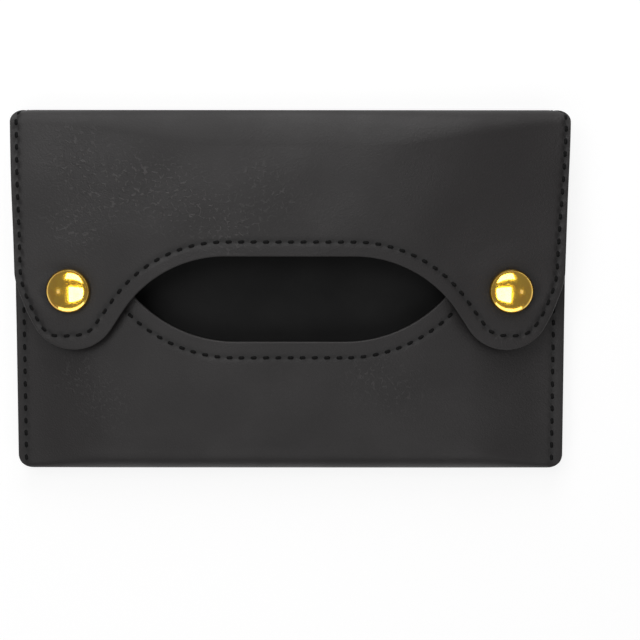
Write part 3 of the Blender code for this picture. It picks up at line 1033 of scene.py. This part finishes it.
def makeCap(name, x):
    radius, base, rim = cap["radius"], flap["lobeZ"] - cap["bite"], cap["rimRadius"]
    foot, top = capLow.z, capHigh.z
    post = cap["post"]
    profile = [(post + cap["flare"], foot), (post, foot + cap["flare"]), (post, base)]
    profile += rounded((radius - rim, base + rim), rim, -90, 0, 5)
    shoulder = base + cap["rimHeight"]
    for k in range(cap["domeSteps"] + 1):
        turn = math.pi / 2 * k / cap["domeSteps"]
        profile.append((radius * math.cos(turn), shoulder + (top - shoulder) * math.sin(turn)))
    profile[-1] = (0, top)
    return turned(name, gilt, profile, x, cap["segments"])


socket = {
    "radius": 0.0045,
    "ring": 0.0005,
    "mouth": 0.0029,
    "groove": 0.00365,
    "grooveHeight": 0.0010,
    "ceiling": 0.0005,
    "post": 0.00155,
    "bevel": 0.0004,
    "segments": 72,
}


def makeSocket(name, x):
    low, high = (corner.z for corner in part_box("snap_socket_left"))
    top, ring = high + snap["gap"] + snap["bite"], socket["ring"]
    room = high - socket["ceiling"]
    middle, half = (low + room) / 2, socket["grooveHeight"] / 2
    mouth, groove = socket["mouth"], socket["groove"]
    profile = rounded((mouth + ring / 2, low + ring / 2), ring / 2, 270, 180)
    profile += [(mouth, middle - half), (groove, middle - half), (groove, middle + half)]
    profile += [(mouth, middle + half), (mouth, room), (socket["post"] + socket["bevel"], room)]
    profile += [(socket["post"], room + socket["bevel"]), (socket["post"], top)]
    profile += rounded((socket["radius"] - ring / 2, top - ring / 2), ring / 2, 90, 0)
    profile += rounded((socket["radius"] - ring, low + ring + 0.0002), ring, 0, -90, 5)
    return turned(name, brass, profile, x, socket["segments"])


stud = {
    "flange": 0.0044,
    "flangeHeight": 0.0004,
    "neck": 0.0020,
    "head": 0.0024,
    "hole": 0.00115,
    "bevel": 0.0004,
    "round": 0.0002,
    "fillet": 0.0003,
    "waist": 0.30,
    "widest": 0.66,
    "segments": 72,
}


def makeStud(name, x):
    low, high = (corner.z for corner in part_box("snap_stud_left"))
    base = low - snap["gap"] - snap["bite"]
    flange, flangeTop = stud["flange"], low + stud["flangeHeight"]
    waist, widest = (mix(flangeTop, high, stud[place]) for place in ("waist", "widest"))
    edge, fillet, bevel = stud["round"], stud["fillet"], stud["bevel"]
    profile = [(stud["hole"], base), (flange - edge / 2, base)]
    profile += rounded((flange - edge, flangeTop - edge), edge, 0, 90)
    profile += rounded((stud["neck"] + 2 * fillet, flangeTop + fillet), fillet, 270, 215)
    profile += [(stud["neck"], waist + edge / 2)]
    profile += rounded((stud["head"] - fillet, widest), fillet, -35, 60, 5)
    profile += rounded((stud["neck"] - edge, high - edge), edge, 60, 90)
    profile += [(stud["hole"] + bevel, high), (stud["hole"], high - bevel)]
    return turned(name, brass, profile, x, stud["segments"])


rivet = {
    "flange": 0.0040,
    "flangeHeight": 0.0004,
    "tube": 0.0010,
    "bore": 0.0005,
    "flare": 0.0004,
    "round": 0.0002,
    "segments": 72,
}


def makeRivet(name, x):
    low, high = (corner.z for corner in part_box("snap_rivet_left"))
    base = low + snap["gap"] + snap["bite"]
    top, edge = base + rivet["flangeHeight"], rivet["round"]
    flange, tube, bore, flare = (rivet[part] for part in ("flange", "tube", "bore", "flare"))
    profile = [(bore * 2, base), (flange - edge * 1.5, base)]
    profile += rounded((flange - edge, base + edge), edge, -60, 0)
    profile += [(flange, top), (tube, top), (tube, high - flare), (tube + flare, high)]
    profile += rounded((tube + flare - edge / 2, high), edge / 2, 0, 180)[1:]
    profile += [(bore, high - flare), (bore, top), (bore / 4, top), (0, top)]
    return turned(name, brass, profile, x, rivet["segments"])


spring = {
    "wire": 0.0005,
    "split": 0.0012,
    "sides": 14,
    "steps": 90,
}


def makeSpring(name, x):
    low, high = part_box("snap_spring_left")
    height = (low.z + high.z) / 2
    radius = socket["mouth"] + spring["wire"] / 2
    start = spring["split"] / radius / 2
    bpy.ops.object.select_all(action="DESELECT")
    bpy.ops.mesh.primitive_circle_add(
        vertices=spring["sides"],
        radius=spring["wire"] / 2,
        fill_type="NGON",
        location=(x + radius * math.cos(start), snap["y"] + radius * math.sin(start), height),
        rotation=(math.pi / 2, 0, start),
    )
    piece = bpy.context.object
    piece.name = name
    bpy.ops.object.mode_set(mode="EDIT")
    bpy.ops.mesh.select_all(action="SELECT")
    bpy.ops.mesh.spin(
        steps=spring["steps"],
        angle=2 * math.pi - 2 * start,
        center=(x, snap["y"], height),
        axis=(0, 0, 1),
    )
    return finished(piece, steel, smoothAngles["spring"])


snapMakers = {
    "cap": (makeCap, "flap", "brass"),
    "socket": (makeSocket, "flap", "brass"),
    "spring": (makeSpring, "flap", "spring_steel"),
    "stud": (makeStud, "pouch", "brass"),
    "rivet": (makeRivet, "pouch", "brass"),
}


def makeSnaps():
    for word, side in (("left", -1), ("right", 1)):
        for part, (make, body, slot) in snapMakers.items():
            piece = make(f"{word}_{part}", side * snap["x"])
            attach(piece, body)
            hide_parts(f"snap_{part}_{word}")


makeSnaps()

# The half, slot and CAD nodes of each sheet. The nodes are hidden, and the pocket's seam rides on the
# pouch.

sheetUses = {
    "pouch_cover": ("pouch", "leather", ("pouch_leather", "spine_leather")),
    "pouch_inside": ("pouch", "lining", ("pouch_lining", "spine_lining")),
    "flap_cover": ("flap", "leather", ("flap_leather",)),
    "flap_inside": ("flap", "lining", ("flap_lining",)),
}


def attachSheets():
    for name, (half, slot, nodes) in sheetUses.items():
        piece = pieces[name]
        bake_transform(piece)
        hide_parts(*nodes)
    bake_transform(pieces["left_side_stitching"])
    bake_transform(pieces["right_side_stitching"])
    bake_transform(pieces["flap_stitching"])
    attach(pieces["pocket_stitching"], "pouch")


attachSheets()

# Floor, world and lights.

studio = {
    "floorSize": 6,
    "floorDrop": 0.0005,
    "floorColor": (0.8, 0.8, 0.8, 1),
    "floorRoughness": 0.9,
    "floorGlow": 1.2,
    "floorGlowShare": 0.70,
    "worldLight": 0.09,
    "horizon": 0.45,
    "zenith": 0.24,
    "zenithHeight": 0.2,
}
lights = {  # size, place, aim, watts, and whether the light falls on the caps alone
    "key": ((0.28, 0.28), (-0.135, 0.188, 0.442), (0, 0, 0), 0.74, False),
    "top": ((0.28, 0.36), (0, 0.440, 0.237), (0, 0, 0), 1.10, False),
    "front": ((0.66, 0.26), (0, -0.250, 0.430), (0, 0, 0), 0.70, False),
    "capWindow": ((0.120, 0.093), (0, -0.0285, 0.130), (0, -0.0285, 0), 0.25, True),
    "capCrescent": ((0.170, 0.155), (0, 0.1525, 0.130), (0, 0.1525, 0), 0.50, True),
    "capRim": ((0.50, 0.13), (0, -0.28, 0.085), (0, 0, 0.012), 0.55, True),
    "capLeft": ((0.06, 0.06), (-0.23, -0.02, 0.31), (-0.05, 0, 0), 0.012, True),
    "capRight": ((0.06, 0.06), (0.23, -0.02, 0.31), (0.05, 0, 0), 0.012, True),
}


def lightPath(wires):  # a wire for each kind of ray that shows a background, 1 on such rays
    kinds = ("Camera", "Glossy", "Transmission")
    return [wires.node("ShaderNodeLightPath", {}, {}, f"Is {kind} Ray") for kind in kinds]


def makeFloor():
    bpy.ops.object.select_all(action="DESELECT")
    bpy.ops.mesh.primitive_plane_add(size=studio["floorSize"], location=(0, 0, -studio["floorDrop"]))
    floor = bpy.context.object
    floor.name = "floor"
    constants = {"Roughness": studio["floorRoughness"], "Base Color": studio["floorColor"]}
    material, wires, shader = newMaterial("pale floor", constants)
    camera, glossy, through = lightPath(wires)
    glow = wires.node("ShaderNodeEmission", {}, {"Color": (1, 1, 1, 1), "Strength": studio["floorGlow"]})
    plain = Wire(material.node_tree, shader.outputs[0])
    share = (camera + glossy + through) * studio["floorGlowShare"]
    mixed = wires.node("ShaderNodeMixShader", {}, {0: share, 1: plain, 2: glow})
    output = material.node_tree.nodes["Material Output"]
    material.node_tree.links.new(mixed.end, output.inputs["Surface"])
    floor.data.materials.append(material)


def makeWorld():
    world = bpy.data.worlds.new("pale room")
    bpy.context.scene.world = world
    world.use_nodes = True
    tree = world.node_tree
    wires = Wire(tree)
    camera, glossy, through = lightPath(wires)
    toward = wires.node("ShaderNodeTexCoord", {}, {}, "Generated")
    height = wires.node("ShaderNodeSeparateXYZ", {}, {0: toward}, "Z")
    sky = height.within(0, studio["zenithHeight"])
    inMetal = studio["horizon"] - (studio["horizon"] - studio["zenith"]) * sky
    plain = studio["worldLight"]
    strength = plain + (camera + through) * (1 - plain) + glossy * (inMetal - plain)
    back = tree.nodes["Background"]
    back.inputs["Color"].default_value = (1, 1, 1, 1)
    tree.links.new(strength.end, back.inputs["Strength"])


def addLight(name, size, place, aim, watts, onCaps):
    turn = (Vector(place) - Vector(aim)).to_track_quat("Z", "Y").to_euler()
    bpy.ops.object.light_add(type="AREA", location=place, rotation=turn)
    lamp = bpy.context.object
    lamp.name = name
    lamp.data.shape = "RECTANGLE"
    lamp.data.size, lamp.data.size_y = size
    lamp.data.energy = watts
    lamp.visible_camera = False
    caps = bpy.data.collections.new(name)
    for word in ("left", "right"):
        caps.objects.link(bpy.data.objects[f"{word}_cap"])
    for linked in caps.collection_objects:
        linked.light_linking.link_state = "INCLUDE" if onCaps else "EXCLUDE"
    lamp.light_linking.receiver_collection = caps


makeFloor()
makeWorld()
for lightName, light in lights.items():
    addLight(lightName, *light)
print("stage and lights made")
